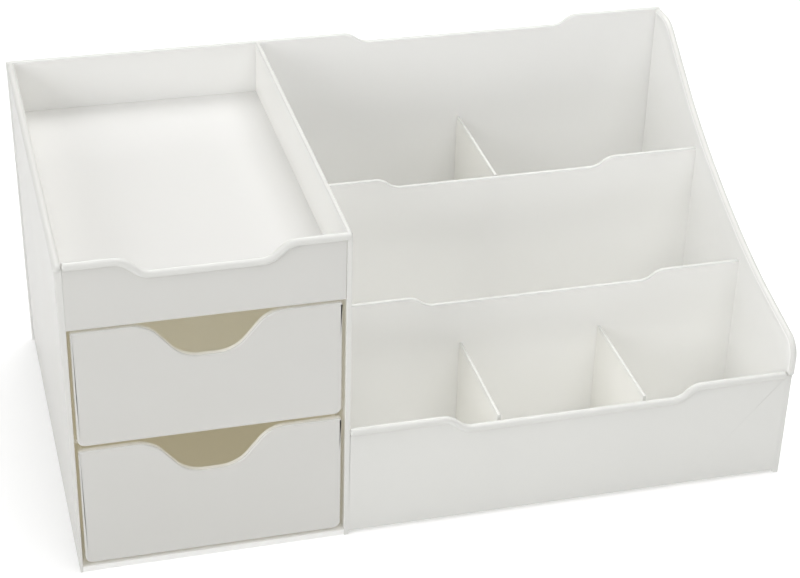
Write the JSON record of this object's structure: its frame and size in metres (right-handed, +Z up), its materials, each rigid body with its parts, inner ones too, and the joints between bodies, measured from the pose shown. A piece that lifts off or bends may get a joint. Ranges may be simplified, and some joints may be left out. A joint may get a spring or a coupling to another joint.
{
  "type": "desk organizer",
  "caption": "Plastic desktop organizer: drawer tower under an open tray, beside stepped rows of open compartments with scooped rims and removable dividers.",
  "frame": {"origin": "under the middle of the organizer's box, on the desk", "axes": "+X to the right along the width, +Y to the back, +Z up"},
  "size_m": [0.3, 0.178, 0.141],
  "materials": {
    "shell_plastic": "warm white injection-moulded polypropylene, semi-gloss",
    "tray_plastic": "warm white injection-moulded polypropylene, smooth gloss floor",
    "drawer_plastic": "warm white injection-moulded polypropylene, semi-gloss",
    "divider_plastic": "warm white thin moulded sheet, semi-gloss"
  },
  "bodies": {
    "housing": {"left_side_panel": "shell_plastic", "partition_panel": "shell_plastic", "right_end_panel": "shell_plastic", "rear_panel": "shell_plastic", "bay_floor": "shell_plastic", "drawer_shelf": "shell_plastic", "top_tray": "tray_plastic", "row_floor": "shell_plastic", "front_wall": "shell_plastic", "lower_riser": "shell_plastic", "upper_riser": "shell_plastic", "front_divider_left": "divider_plastic", "front_divider_right": "divider_plastic", "rear_divider": "divider_plastic"},
    "upper_drawer_body": {"upper_drawer": "drawer_plastic"},
    "lower_drawer_body": {"lower_drawer": "drawer_plastic"}
  },
  "joints": [
    {"name": "upper_drawer_slide", "type": "slide", "parent": "housing", "child": "upper_drawer_body", "axis": [0, -1, 0], "range_m": [0, 0.13]},
    {"name": "lower_drawer_slide", "type": "slide", "parent": "housing", "child": "lower_drawer_body", "axis": [0, -1, 0], "range_m": [0, 0.13]}
  ]
}
